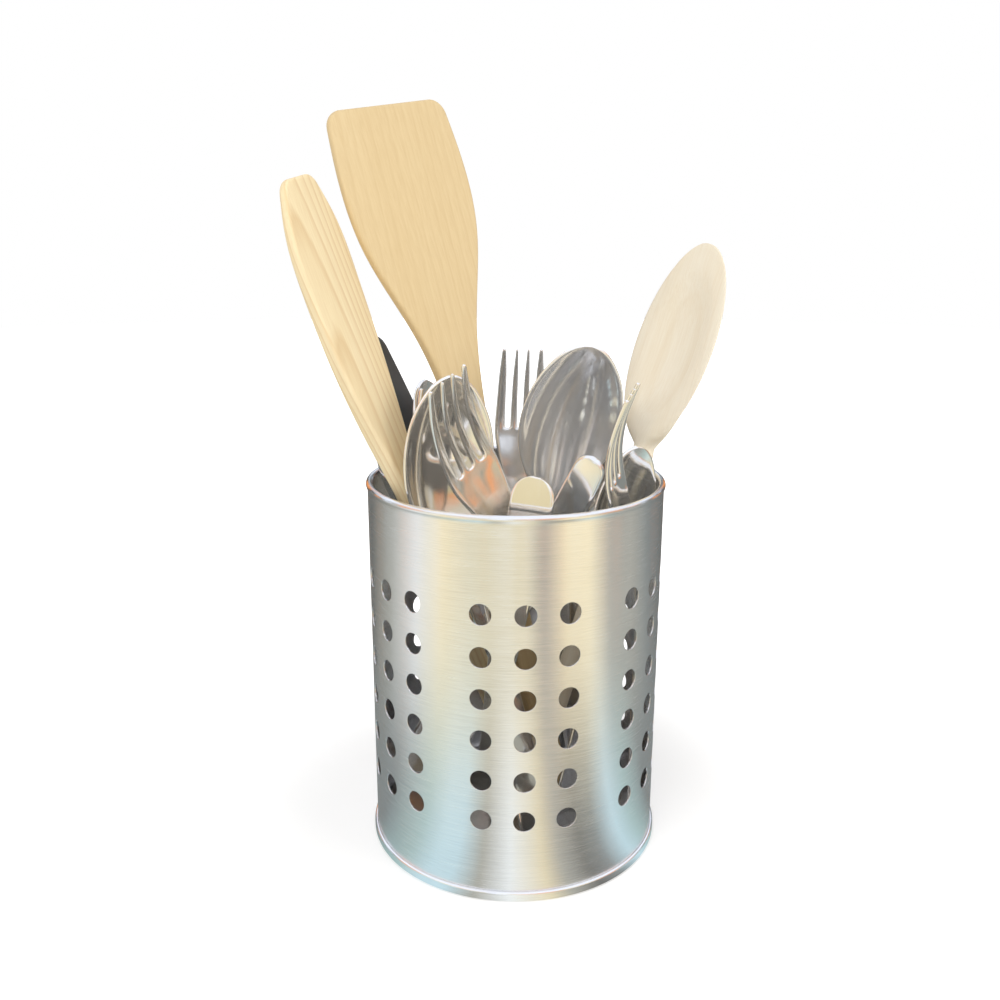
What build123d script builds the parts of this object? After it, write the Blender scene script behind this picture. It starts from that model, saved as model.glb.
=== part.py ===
from build123d import *
from dataclasses import dataclass
from math import pi, radians, sqrt, tan
import os

os.makedirs("parts", exist_ok=True)

# A perforated steel cutlery holder, standing on its base seam, with the cutlery that it holds.
# Millimetres. The origin is the centre of the base seam's underside, +Z is up, and the
# middle of the front group of holes faces -Y.

# Holder
HOLDER_RADIUS = 60.0
HOLDER_HEIGHT = 156.0
SHEET = 0.6

# Rim: the sleeve's top edge, curled outwards and back down inside
CURL_RADIUS = 1.4
CURL_PROUD = 0.6
CURL_GAP = 0.5

# Base pan: a pressed floor whose edge is seamed round the sleeve's lower edge
FLOOR_TOP = 3.0
SEAM_HEIGHT = 4.0
SEAM_THICKNESS = 1.3
SEAM_ROUNDING = 0.55

# Perforation: groups of round holes in straight columns and rows
HOLE_DIAMETER = 8.4
GROUPS = 6
COLUMNS = 3
ROWS = 6
PITCH = 16.8
TOP_ROW_HEIGHT = 118.5

# Cutlery: all handles are drawn foot end first, with heights from that end
STEEL = 1.6
FOOT_CLEARANCE = 0.6
STEEL_END = 10.0
WOOD_END = 7.0
WOOD_GAUGE = 4.0
CUT_REACH = 60.0
BOWL_TRIM = 0.3

FORK_LENGTH = 199.0
LONG_FORK_LENGTH = 220.0
FORK_SLOT_ROOT = 163.0
FORK_SLOT_PITCH = 5.5
FORK_SLOT_WIDTH = 2.3
FORK_SLOT_MOUTH = 3.1
FORK_SLOT_TAPER = 0.9
TINE_ROUNDING = 0.7

KNIFE_LENGTH = 224.0
KNIFE_HANDLE_LENGTH = 88.0
KNIFE_HANDLE_HALF_WIDTH = 8.0
KNIFE_HANDLE_THICKNESS = 4.2
KNIFE_HANDLE_ROUNDING = 1.0
BLADE_THICKNESS = 1.6
TANG_LENGTH = 45.0
TANG_HALF_WIDTH = 3.5
SMALL_KNIFE_LENGTH = 198.0
SMALL_KNIFE_HANDLE_HALF_WIDTH = 5.8
SMALL_KNIFE_THICKNESS = 2.4

TURNER_LENGTH = 302.0
TURNER_HANDLE_HALF_WIDTH = 6.0
TURNER_THICKNESS = 6.0
TURNER_CORNER = 6.0
PADDLE_LENGTH = 280.2
PADDLE_THICKNESS = 6.0
PADDLE_HANDLE_RADIUS = 4.4
PADDLE_HANDLE_TRIM = 0.5
PADDLE_BOARD_THICKNESS = 10.4
PADDLE_CORNER = 4.0


@dataclass
class Place:
    """Where a piece stands: its foot, its lean to the right and to the back, and its turn, in degrees."""

    x: float
    y: float
    right: float
    back: float
    turn: float


@dataclass
class Spoon:
    """A spoon's sizes. The bowl is measured in its rim's plane, and the tip stands forward by tip_rise."""

    length: float
    bowl_length: float
    bowl_width: float
    bowl_depth: float
    gauge: float
    end_half_width: float
    neck_half_width: float
    arch: float
    neck_rise: float
    tip_rise: float


def seat_plane(place, half_width, thickness):
    """The plane at a piece's foot: z runs along the piece and -y is its front."""
    along = Vector(tan(radians(place.right)), tan(radians(place.back)), 1).normalized()
    toward_front = Vector(0, -1, 0)
    front = (toward_front - along * along.dot(toward_front)).normalized()
    front = front.rotate(Axis((0, 0, 0), along), place.turn)
    sink = half_width * (1 - along.Z) + thickness * sqrt(1 - along.Z**2)
    foot = Vector(place.x, place.y, FLOOR_TOP + FOOT_CLEARANCE + sink)
    return Plane(origin=foot, x_dir=(-front).cross(along), z_dir=along)


def turned_over(seat, length):
    """The same seat seen from its far end, for a piece that stands on its head."""
    return Plane(origin=seat.origin + seat.z_dir * length, x_dir=-seat.x_dir, z_dir=-seat.z_dir)


def outline_plane(seat):
    """The plane of a piece's outline: x across it, y along it."""
    return Plane(origin=seat.origin, x_dir=seat.x_dir, z_dir=-seat.y_dir)


def profile_plane(seat):
    """The plane of a piece's side profile: x towards its front, y along it."""
    return Plane(origin=seat.origin, x_dir=-seat.y_dir, z_dir=-seat.x_dir)


def save(part, name):
    part.label = name
    export_step(part, f"parts/{name}.step")


def closed_band(before, after):
    """Join two smooth edges with straight ends."""
    Line(before @ 0, after @ 0)
    Line(before @ 1, after @ 1)


def band(points):
    """A band along a smooth line, from points of (front offset, height, thickness)."""
    before = Spline(*[(front - thickness / 2, height) for front, height, thickness in points])
    after = Spline(*[(front + thickness / 2, height) for front, height, thickness in points])
    closed_band(before, after)


def outline(side):
    """A closed outline from points of (half width, height): round foot, smooth sides, straight top."""
    other_side = [(-half_width, height) for half_width, height in side]
    ThreePointArc(other_side[0], (0, 0), side[0])
    Spline(*side)
    Spline(*other_side)
    Line(side[-1], other_side[-1])


def cut_to_profile(seat, points):
    """Keep only the band of the side profile of the part that is being built."""
    with BuildSketch(profile_plane(seat)) as profile:
        with BuildLine():
            band(points)
        make_face()
    extrude(profile.sketch, amount=CUT_REACH, both=True, mode=Mode.INTERSECT)


def make_fork(seat, length):
    """A fork with four tines, narrow at the neck, its tines bent forward."""
    size = length / FORK_LENGTH
    side = [(STEEL_END, STEEL_END), (6.3, 80), (3.4, 127), (7.4, 142), (11.1, 156), (10.9, 172)]
    side.append((9.7, FORK_LENGTH))
    bend = [(0, 0), (2.5, 30), (5.5, 70), (8, 110), (7.5, 130), (4, 148), (1.3, 163), (4, 184)]
    bend.append((10.5, FORK_LENGTH))
    with BuildPart() as fork:
        with BuildSketch(outline_plane(seat)) as fork_outline:
            with BuildLine():
                outline([(half_width * size, height * size) for half_width, height in side])
            make_face()
            for slot in (-1, 0, 1):
                root = slot * FORK_SLOT_PITCH * size
                tip = root * FORK_SLOT_TAPER
                half_root = FORK_SLOT_WIDTH / 2 * size
                half_mouth = FORK_SLOT_MOUTH / 2 * size
                with Locations((root, FORK_SLOT_ROOT * size)):
                    Circle(half_root, mode=Mode.SUBTRACT)
                Polygon(
                    (root - half_root, FORK_SLOT_ROOT * size),
                    (root + half_root, FORK_SLOT_ROOT * size),
                    (tip + half_mouth, length),
                    (tip - half_mouth, length),
                    align=None,
                    mode=Mode.SUBTRACT,
                )
            tine_corners = fork_outline.vertices().group_by(Axis.Y)[-1]
            fillet(tine_corners, TINE_ROUNDING)
        extrude(amount=CUT_REACH, both=True)
        cut_to_profile(seat, [(front * size, height * size, STEEL) for front, height in bend])
    return fork.part


def make_bowl(seat, spoon):
    """A spoon's bowl: its rim lies on the chord from neck to tip, and its sections across are round."""
    gauge = spoon.gauge
    profile = profile_plane(seat)
    rim_neck = Vector(spoon.neck_rise, spoon.length - spoon.bowl_length)
    rim_tip = Vector(spoon.tip_rise, spoon.length)
    along_rim = (rim_tip - rim_neck).normalized()
    forward = Vector(along_rim.Y, -along_rim.X)
    half_width = spoon.bowl_width / 2
    centre_height = (half_width**2 - spoon.bowl_depth**2) / (2 * spoon.bowl_depth)
    turning_point = rim_neck + forward * centre_height
    turning_axis = Axis(
        profile.from_local_coords(turning_point),
        profile.from_local_coords(turning_point + along_rim) - profile.from_local_coords(turning_point),
    )
    middle = (rim_neck + rim_tip) / 2
    inner_neck = rim_neck + along_rim * 1.6 * gauge
    inner_tip = rim_tip - along_rim * 1.6 * gauge
    with BuildPart() as bowl:
        with BuildSketch(profile):
            with BuildLine():
                ThreePointArc(rim_neck, middle - forward * spoon.bowl_depth, rim_tip)
                Line(rim_tip, inner_tip)
                ThreePointArc(inner_tip, middle - forward * (spoon.bowl_depth - gauge), inner_neck)
                Line(inner_neck, rim_neck)
            make_face()
        revolve(axis=turning_axis)
        with BuildSketch(profile):
            trimmed_neck = rim_neck - along_rim - forward * BOWL_TRIM
            trimmed_tip = rim_tip + along_rim - forward * BOWL_TRIM
            Polygon(
                trimmed_neck,
                trimmed_tip,
                trimmed_tip + forward * 2 * CUT_REACH,
                trimmed_neck + forward * 2 * CUT_REACH,
                align=None,
            )
        extrude(amount=CUT_REACH, both=True, mode=Mode.SUBTRACT)
    return bowl.part


def make_spoon(seat, spoon):
    """A steel spoon: a bowl, and a flat handle let into the back of its neck."""
    neck = spoon.length - spoon.bowl_length
    gauge = spoon.gauge
    end = spoon.end_half_width
    side = [(end, end), (end * 0.76, neck * 0.45), (end * 0.5, neck * 0.74)]
    side.append((spoon.neck_half_width, neck * 0.9))
    side.append((spoon.neck_half_width * 1.4, neck + 2 * gauge))
    arch = [(0, 0), (0.29, 0.22), (0.71, 0.52), (1, 0.78), (0.93, 0.9)]
    bend = [(spoon.arch * front, neck * height, gauge) for front, height in arch]
    bend.append((spoon.neck_rise - gauge / 2, neck, gauge))
    bend.append((spoon.neck_rise - 0.7 * gauge, neck + 2 * gauge, gauge))
    bowl = make_bowl(seat, spoon)
    with BuildPart() as whole:
        with BuildSketch(outline_plane(seat)):
            with BuildLine():
                outline(side)
            make_face()
        extrude(amount=CUT_REACH, both=True)
        cut_to_profile(seat, bend)
        add(bowl)
    return whole.part


def make_carved_spoon(seat, spoon):
    """A wooden spoon: a thick bowl on a round handle that dies into the bowl."""
    neck = spoon.length - spoon.bowl_length
    end = spoon.end_half_width
    side = [(end, end), (end, neck * 0.5), (end, neck * 0.74)]
    side.append((spoon.neck_half_width, neck * 0.92))
    side.append((spoon.neck_half_width * 0.8, neck + 1.5 * spoon.gauge))
    side.append((end * 0.4, neck + 3.5 * spoon.gauge))
    bowl = make_bowl(seat, spoon)
    with BuildPart() as whole:
        with BuildSketch(profile_plane(seat)):
            with BuildLine():
                RadiusArc((0, 0), side[0], -end)
                Spline(*side)
                Line(side[-1], (0, side[-1][1]))
                Line((0, side[-1][1]), (0, 0))
            make_face()
        revolve(axis=Axis(seat.origin, seat.z_dir))
        add(bowl)
    return whole.part


def make_flat_tool(seat, side, profile, corner):
    """A wooden tool cut from a flat board, thinner towards its top, with rounded top corners."""
    with BuildPart() as tool:
        with BuildSketch(outline_plane(seat)) as tool_outline:
            with BuildLine():
                outline(side)
            make_face()
            fillet(tool_outline.vertices().group_by(Axis.Y)[-1], corner)
        extrude(amount=CUT_REACH, both=True)
        cut_to_profile(seat, profile)
    return tool.part


# Sleeve: one perforated sheet, rolled round and curled at the top
curl_centre = (HOLDER_RADIUS + CURL_PROUD - CURL_RADIUS, HOLDER_HEIGHT - CURL_RADIUS)
with BuildPart() as perforated_sleeve:
    with BuildSketch(Plane.XZ) as sleeve_section:
        with Locations((HOLDER_RADIUS - SHEET / 2, (SHEET + curl_centre[1]) / 2)):
            Rectangle(SHEET, curl_centre[1] - SHEET)
        with Locations(curl_centre):
            Circle(CURL_RADIUS)
            Circle(CURL_RADIUS - SHEET, mode=Mode.SUBTRACT)
        with Locations((curl_centre[0] - CURL_RADIUS + SHEET / 2, curl_centre[1] - CURL_GAP)):
            Rectangle(2 * SHEET, CURL_GAP, mode=Mode.SUBTRACT)
    revolve(axis=Axis.Z)
    hole_rows = [TOP_ROW_HEIGHT - PITCH * row for row in range(ROWS)]
    column_step = PITCH / HOLDER_RADIUS * 180 / pi
    for group in range(GROUPS):
        for column in range(COLUMNS):
            angle = -90 + group * 360 / GROUPS + (column - (COLUMNS - 1) / 2) * column_step
            with BuildSketch(Plane.XZ.rotated((0, 0, angle + 90))):
                with Locations(*[(0, height) for height in hole_rows]):
                    Circle(HOLE_DIAMETER / 2)
            extrude(amount=HOLDER_RADIUS + CURL_RADIUS, mode=Mode.SUBTRACT)
save(perforated_sleeve.part, "perforated_sleeve")

# Base pan: floor, upstand inside the sleeve and rolled seam outside it
upstand_outer = HOLDER_RADIUS - SHEET
upstand_inner = upstand_outer - SHEET
seam_outer = HOLDER_RADIUS + SEAM_THICKNESS
with BuildPart() as base_pan:
    with BuildSketch(Plane.XZ):
        with BuildLine():
            Polyline(
                (0, FLOOR_TOP - SHEET),
                (upstand_inner, FLOOR_TOP - SHEET),
                (upstand_inner, 0),
                (seam_outer, 0),
                (seam_outer, SEAM_HEIGHT),
                (HOLDER_RADIUS, SEAM_HEIGHT),
                (HOLDER_RADIUS, SHEET),
                (upstand_outer, SHEET),
                (upstand_outer, FLOOR_TOP),
                (0, FLOOR_TOP),
                close=True,
            )
        make_face()
    revolve(axis=Axis.Z)
    round_edges = base_pan.edges().filter_by(GeomType.CIRCLE)
    seam_edges = round_edges.filter_by(lambda edge: abs(edge.radius - seam_outer) < SHEET / 10)
    fillet(seam_edges, SEAM_ROUNDING)
save(base_pan.part, "base_pan")

# Wooden turner: a wide blade with a nearly straight top
turner_side = [(TURNER_HANDLE_HALF_WIDTH, height) for height in (TURNER_HANDLE_HALF_WIDTH, 40, 80, 120)]
turner_side += [(8.1, 184), (14.8, 217), (26.5, 250), (28.8, 266), (26.5, TURNER_LENGTH)]
turner_profile = [(0, 0, TURNER_THICKNESS), (0.5, 100, TURNER_THICKNESS), (1, 180, 5.5)]
turner_profile += [(-0.5, 230, 4.5), (-5.5, TURNER_LENGTH, 3)]
turner_seat = seat_plane(Place(20.9, -5.9, -12.95, 1.97, 37), WOOD_END, TURNER_THICKNESS)
wooden_turner = make_flat_tool(turner_seat, turner_side, turner_profile, TURNER_CORNER)
save(wooden_turner, "wooden_turner")

# Wooden paddle: a slim blade that grows out of a round handle
board_end = PADDLE_HANDLE_RADIUS + PADDLE_HANDLE_TRIM
paddle_side = [(board_end, height) for height in (board_end, 60, 120)]
paddle_side += [(5.6, 152), (12.3, 188), (16.1, 214), (17.6, 241), (16.3, 263), (9.7, PADDLE_LENGTH)]
paddle_profile = [(0, 0, PADDLE_BOARD_THICKNESS), (0.3, 60, PADDLE_BOARD_THICKNESS)]
paddle_profile += [(0.3, 120, PADDLE_BOARD_THICKNESS), (0.8, 160, 7.4), (1, 190, 5.8), (2.5, 230, 4.8)]
paddle_profile.append((6, PADDLE_LENGTH, 3.2))
paddle_seat = seat_plane(Place(11.18, -12.85, -20.04, -2.61, 65.3), WOOD_END, PADDLE_THICKNESS)
paddle_board = make_flat_tool(paddle_seat, paddle_side, paddle_profile, PADDLE_CORNER)
handle_foot = (0, PADDLE_HANDLE_TRIM / 2)
with BuildPart() as wooden_paddle:
    with BuildSketch(profile_plane(paddle_seat)):
        with BuildLine():
            rod = [(PADDLE_HANDLE_RADIUS, PADDLE_HANDLE_RADIUS + handle_foot[1])]
            rod += [(PADDLE_HANDLE_RADIUS, 60), (PADDLE_HANDLE_RADIUS, 120)]
            rod += [(6.8, 150), (13, 180), (24, 210), (36, PADDLE_LENGTH + 1)]
            RadiusArc(handle_foot, rod[0], -PADDLE_HANDLE_RADIUS)
            Spline(*rod)
            Line(rod[-1], (0, rod[-1][1]))
            Line((0, rod[-1][1]), handle_foot)
        make_face()
    revolve(axis=Axis(paddle_seat.origin, paddle_seat.z_dir))
    add(paddle_board, mode=Mode.INTERSECT)
save(wooden_paddle.part, "wooden_paddle")

# Wooden spoon, with a straight round handle
carved = Spoon(267.4, 93, 57, 8.5, WOOD_GAUGE, 4.6, 4.5, 0, 3, 6)
spoon_seat = seat_plane(Place(-5.54, -34.4, 20.88, 16.19, -69), WOOD_END, carved.gauge)
save(make_carved_spoon(spoon_seat, carved), "wooden_spoon")

# Steel spoons
table = Spoon(198, 66, 41, 9, STEEL, STEEL_END, 3.3, 7, 5, 11)
serving = Spoon(218, 71, 43, 9.5, STEEL, STEEL_END, 3.6, 7.5, 5, 11)
dessert = Spoon(172, 54, 35, 7.5, STEEL, 8.8, 3, 6, 4.5, 9.5)
small = Spoon(165, 48, 31, 6.5, STEEL, 8.7, 3, 6, 4.5, 9.5)
standing_spoons = {
    "side_spoon": (table, Place(17.0, 20.3, -24.8, -5.6, 77)),
    "slim_spoon": (table, Place(19.9, 4.4, -19.8, 4.8, 65)),
    "left_spoon": (table, Place(-30.5, -38.1, -0.0, 7.4, 29)),
    "back_spoon": (table, Place(39.7, 34.5, -5.0, -5.4, -6)),
    "big_spoon": (serving, Place(-5.7, 44.0, 8.6, -13.1, 7)),
    "low_right_spoon": (dessert, Place(16.3, -32.7, 8.5, 7.3, 36)),
}
for name, (spoon, place) in standing_spoons.items():
    save(make_spoon(seat_plane(place, STEEL_END, STEEL), spoon), name)

# Small spoon standing on its bowl, handle up
low_handle_seat = seat_plane(Place(-19.6, -43.5, 8.4, -1.1, -27), STEEL_END, STEEL)
save(make_spoon(turned_over(low_handle_seat, small.length), small), "low_handle_spoon")

# Dinner forks
forks = {
    "slim_fork": (FORK_LENGTH, Place(9.5, -52.3, -15.2, 18.1, 55)),
    "left_fork": (LONG_FORK_LENGTH, Place(47.3, 22.2, -22.7, -15.8, 38)),
    "back_fork": (FORK_LENGTH, Place(2.0, 57.4, 1.2, -1.0, -1)),
    "leaning_fork": (FORK_LENGTH, Place(-45.1, 31.5, 24.0, 1.0, 18)),
    "right_fork": (FORK_LENGTH, Place(53.4, -1.6, -7.2, -11.9, 65)),
}
for name, (length, place) in forks.items():
    save(make_fork(seat_plane(place, STEEL_END, STEEL), length), name)

# Table knife, standing on its blade: the blade's tang is held inside the moulded handle
knife_tip = seat_plane(Place(27.6, 48.4, -23.9, -5.8, 30), STEEL_END, 2 * BLADE_THICKNESS)
knife_seat = turned_over(knife_tip, KNIFE_LENGTH)
with BuildPart() as knife_blade:
    with BuildSketch(outline_plane(knife_seat)):
        with BuildLine():
            side = [(6.4, KNIFE_HANDLE_LENGTH), (7.2, 102), (8.8, 146), (9.2, 178)]
            side += [(7.4, 204), (3.5, 217), (1.5, KNIFE_LENGTH)]
            right_edge = Spline(*side)
            left_edge = Spline(*[(-half_width, height) for half_width, height in side])
            closed_band(left_edge, right_edge)
        make_face()
        with Locations((0, KNIFE_HANDLE_LENGTH - TANG_LENGTH / 2)):
            Rectangle(2 * TANG_HALF_WIDTH, TANG_LENGTH)
    extrude(amount=BLADE_THICKNESS / 2, both=True)
save(knife_blade.part, "knife_blade")

with BuildPart() as knife_handle:
    with BuildSketch(outline_plane(knife_seat)):
        with BuildLine():
            side = [(KNIFE_HANDLE_HALF_WIDTH, KNIFE_HANDLE_HALF_WIDTH)]
            side += [(8.2, 30), (7.6, 60), (6.8, KNIFE_HANDLE_LENGTH)]
            outline(side)
        make_face()
    extrude(amount=KNIFE_HANDLE_THICKNESS / 2, both=True)
    broad_faces = knife_handle.faces().sort_by(Axis(knife_seat.origin, knife_seat.y_dir))
    along_sides = [
        edge
        for face in (broad_faces[0], broad_faces[-1])
        for edge in face.edges()
        if knife_seat.to_local_coords(edge.center()).Z < KNIFE_HANDLE_LENGTH - KNIFE_HANDLE_ROUNDING
    ]
    fillet(along_sides, KNIFE_HANDLE_ROUNDING)
    with BuildSketch(outline_plane(knife_seat)):
        with Locations((0, KNIFE_HANDLE_LENGTH - TANG_LENGTH / 2)):
            Rectangle(2 * TANG_HALF_WIDTH, TANG_LENGTH)
    extrude(amount=BLADE_THICKNESS / 2, both=True, mode=Mode.SUBTRACT)
save(knife_handle.part, "knife_handle")

# Small knife, all of steel, standing on its blade
small_knife_profile = [(0, 0, 3), (0, 60, 3.6), (0, 100, 2.8), (0, 130, 2), (0, SMALL_KNIFE_LENGTH, 1.4)]
small_knife_tip = seat_plane(Place(-34.2, 29.8, 19.1, -26.5, 152), STEEL_END, SMALL_KNIFE_THICKNESS)
small_knife_seat = turned_over(small_knife_tip, SMALL_KNIFE_LENGTH)
with BuildPart() as small_knife:
    with BuildSketch(outline_plane(small_knife_seat)):
        with BuildLine():
            side = [(SMALL_KNIFE_HANDLE_HALF_WIDTH, SMALL_KNIFE_HANDLE_HALF_WIDTH)]
            side += [(6.2, 14), (5.4, 60), (4.6, 96), (6.6, 114), (7.6, 160), (6.4, 182)]
            side.append((1.6, SMALL_KNIFE_LENGTH))
            outline(side)
        make_face()
    extrude(amount=CUT_REACH, both=True)
    cut_to_profile(small_knife_seat, small_knife_profile)
save(small_knife.part, "small_knife")
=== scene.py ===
import math
from collections import namedtuple

import bmesh
import bpy
import numpy as np
from mathutils import Matrix, Vector


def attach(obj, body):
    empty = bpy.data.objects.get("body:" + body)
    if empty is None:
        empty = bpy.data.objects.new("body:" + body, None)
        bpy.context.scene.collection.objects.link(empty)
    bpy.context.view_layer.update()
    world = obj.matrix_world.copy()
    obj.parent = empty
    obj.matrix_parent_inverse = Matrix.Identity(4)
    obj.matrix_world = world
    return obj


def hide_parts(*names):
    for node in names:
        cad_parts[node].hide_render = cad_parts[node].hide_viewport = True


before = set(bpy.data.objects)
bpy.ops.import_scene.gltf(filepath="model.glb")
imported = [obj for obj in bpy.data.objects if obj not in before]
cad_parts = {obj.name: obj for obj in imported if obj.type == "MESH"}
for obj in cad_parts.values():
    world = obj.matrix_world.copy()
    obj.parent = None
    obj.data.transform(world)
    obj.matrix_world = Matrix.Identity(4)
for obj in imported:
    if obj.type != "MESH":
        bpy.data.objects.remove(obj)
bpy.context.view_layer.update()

MM = 0.001

# Holder sizes, millimetres
HOLDER_RADIUS = 60.0
HOLDER_HEIGHT = 156.0
SHEET = 0.6
CURL_RADIUS = 1.4
CURL_PROUD = 0.6
FLOOR_TOP = 3.0
SEAM_HEIGHT = 4.0
SEAM_THICKNESS = 1.3
HOLE_RADIUS = 4.2
GROUPS = 6
COLUMNS = 3
ROWS = 6
PITCH = 16.8
TOP_ROW_HEIGHT = 118.5

# Cutlery sizes, millimetres
STEEL = 1.6
FOOT_CLEARANCE = 0.6
STEEL_END = 10.0
WOOD_END = 7.0
BOWL_TRIM = 0.3
CARVED_EDGE = 1.0
FORK_LENGTH = 199.0
LONG_FORK_LENGTH = 220.0
SLOT_ROOT = 163.0
SLOT_PITCH = 5.5
SLOT_WIDTH = 2.3
SLOT_MOUTH = 3.1
SLOT_TAPER = 0.9
KNIFE_LENGTH = 224.0
KNIFE_HANDLE_LENGTH = 88.0
SMALL_KNIFE_LENGTH = 198.0
TURNER_LENGTH = 302.0
PADDLE_LENGTH = 280.2
PADDLE_HANDLE_RADIUS = 4.4

# Where each piece stands: foot x and y, lean to the right and to the back, turn in degrees
PLACES = {
    "wooden_turner": (20.9, -5.9, -12.95, 1.97, 37),
    "wooden_paddle": (11.18, -12.85, -20.04, -2.61, 65.3),
    "wooden_spoon": (-5.54, -34.4, 20.88, 16.19, -69),
    "side_spoon": (17.0, 20.3, -24.8, -5.6, 77),
    "slim_spoon": (19.9, 4.4, -19.8, 4.8, 65),
    "left_spoon": (-30.5, -38.1, 0.0, 7.4, 29),
    "back_spoon": (39.7, 34.5, -5.0, -5.4, -6),
    "big_spoon": (-5.7, 44.0, 8.6, -13.1, 7),
    "low_right_spoon": (16.3, -32.7, 8.5, 7.3, 36),
    "low_handle_spoon": (-19.6, -43.5, 8.4, -1.1, -27),
    "slim_fork": (9.5, -52.3, -15.2, 18.1, 55),
    "left_fork": (47.3, 22.2, -22.7, -15.8, 38),
    "back_fork": (2.0, 57.4, 1.2, -1.0, -1),
    "leaning_fork": (-45.1, 31.5, 24.0, 1.0, 18),
    "right_fork": (53.4, -1.6, -7.2, -11.9, 65),
    "table_knife": (27.6, 48.4, -23.9, -5.8, 30),
    "small_knife": (-34.2, 29.8, 19.1, -26.5, 152),
}

# Stations from a piece's first end, and back from its last. Near a break the step is shorter
FIRST_STATIONS = (0.12, 0.6, 1.6, 3.2, 5.5, 8.5, 12.0)
LAST_STATIONS = (3.6, 2, 0.9, 0.25, 0)
BREAK_REACH = 9
BREAK_STEP = 0.4
SMOOTH_LEVELS = 2


def seat(name, half_width, thickness):
    """The foot of a piece and its directions across, to the front and along, as in the CAD."""
    x, y, right, back, turn = PLACES[name]
    along = np.array([math.tan(math.radians(right)), math.tan(math.radians(back)), 1.0])
    along /= np.linalg.norm(along)
    front = np.array([0.0, -1.0, 0.0])
    front -= along * along.dot(front)
    front /= np.linalg.norm(front)
    angle = math.radians(turn)
    front = front * math.cos(angle) + np.cross(along, front) * math.sin(angle)
    sink = half_width * (1 - along[2]) + thickness * math.sqrt(1 - along[2] ** 2)
    foot = np.array([x, y, FLOOR_TOP + FOOT_CLEARANCE + sink])
    return foot, np.cross(-front, along), front, along


def turned_over(place, length):
    foot, across, front, along = place
    return foot + along * length, -across, front, -along


def curve(points):
    """A smooth function through (position, value) points: a natural cubic spline."""
    x, y = np.array(points, float).T
    step = np.diff(x)
    count = len(x)
    matrix = np.eye(count)
    right = np.zeros(count)
    for i in range(1, count - 1):
        matrix[i, i - 1:i + 2] = step[i - 1], 2 * (step[i - 1] + step[i]), step[i]
        right[i] = 6 * ((y[i + 1] - y[i]) / step[i] - (y[i] - y[i - 1]) / step[i - 1])
    bend = np.linalg.solve(matrix, right)

    def value(s):
        i = int(np.clip(np.searchsorted(x, s) - 1, 0, count - 2))
        a, b = x[i + 1] - s, s - x[i]
        h = step[i]
        return ((bend[i] * a**3 + bend[i + 1] * b**3) / (6 * h)
                + (y[i] / h - bend[i] * h / 6) * a + (y[i + 1] / h - bend[i + 1] * h / 6) * b)

    return value


def ease(low, high, s):
    t = min(1.0, max(0.0, (s - low) / (high - low)))
    return t * t * (3 - 2 * t)


def mesh_object(name, verts, faces):
    mesh = bpy.data.meshes.new(name)
    mesh.from_pydata([tuple(float(c) * MM for c in v) for v in verts], [], faces)
    mesh.validate()
    for polygon in mesh.polygons:
        polygon.use_smooth = True
    obj = bpy.data.objects.new(name, mesh)
    bpy.context.scene.collection.objects.link(obj)
    return obj


def outward(obj):
    """Make the faces of a closed piece look outward."""
    work = bmesh.new()
    work.from_mesh(obj.data)
    bmesh.ops.recalc_face_normals(work, faces=work.faces)
    work.to_mesh(obj.data)
    work.free()


def finish_piece(obj, body, node, material):
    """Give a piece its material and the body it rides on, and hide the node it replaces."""
    obj.data.materials.append(material)
    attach(obj, body)
    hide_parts(node)


def sheet_piece(name, place, rows, gaps=()):
    """A thin piece from rows of (across, front, along) points. gaps are (row, column) quads left open."""
    foot, across, front, along = place
    columns = len(rows[0])
    verts = [foot + across * x + front * f + along * s for row in rows for x, f, s in row]
    faces = []
    for i in range(len(rows) - 1):
        for j in range(columns - 1):
            if (i, j) not in gaps:
                a = i * columns + j
                faces.append((a, a + 1, a + columns + 1, a + columns))
    obj = mesh_object(name, verts, faces)
    loose = bmesh.new()
    loose.from_mesh(obj.data)
    bmesh.ops.delete(loose, geom=[v for v in loose.verts if not v.link_faces], context="VERTS")
    loose.to_mesh(obj.data)
    loose.free()
    return obj


def thicken(obj, gauge):
    solid = obj.modifiers.new("gauge", "SOLIDIFY")
    solid.thickness = gauge * MM
    solid.offset = 0
    smooth = obj.modifiers.new("smooth", "SUBSURF")
    smooth.levels = SMOOTH_LEVELS
    smooth.render_levels = SMOOTH_LEVELS


def foot_width(end, s):
    """Half width of a round end of that radius, at a distance from its tip that is under the radius."""
    return math.sqrt(max(0.0, end**2 - (end - s) ** 2))


def stations(length, breaks, step):
    """Positions along a piece: fine near its ends and the breaks, and step apart elsewhere."""
    out = list(FIRST_STATIONS)
    s = out[-1]
    while s < length - 6:
        near = any(abs(s - b) < BREAK_REACH for b in breaks)
        s += step * (BREAK_STEP if near else 1)
        out.append(s)
    out = [s for s in out if s < length - 4.5]
    return out + [length - gap for gap in LAST_STATIONS]


# Materials

# Socket numbers of a Mix node for colours: its inputs, then its output
MIX_FACTOR, MIX_A, MIX_B, MIX_RESULT = 0, 6, 7, 2


def shader(name, **values):
    """A new material with its node tree and its shader, whose own sockets take the values."""
    material = bpy.data.materials.new(name)
    material.use_nodes = True
    tree = material.node_tree
    bsdf = tree.nodes["Principled BSDF"]
    for key, value in values.items():
        bsdf.inputs[key.replace("_", " ")].default_value = value
    return material, tree, bsdf


def add_node(tree, kind, **settings):
    node = tree.nodes.new(kind)
    for key, value in settings.items():
        setattr(node, key, value)
    return node


def ramp(tree, factor, stops):
    node = add_node(tree, "ShaderNodeValToRGB")
    elements = node.color_ramp.elements
    while len(elements) < len(stops):
        elements.new(0.5)
    for element, (position, colour) in zip(elements, stops):
        element.position = position
        element.color = (*colour, 1.0)
    tree.links.new(factor, node.inputs["Fac"])
    return node.outputs["Color"]


def grey(value):
    return (value, value, value)


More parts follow.
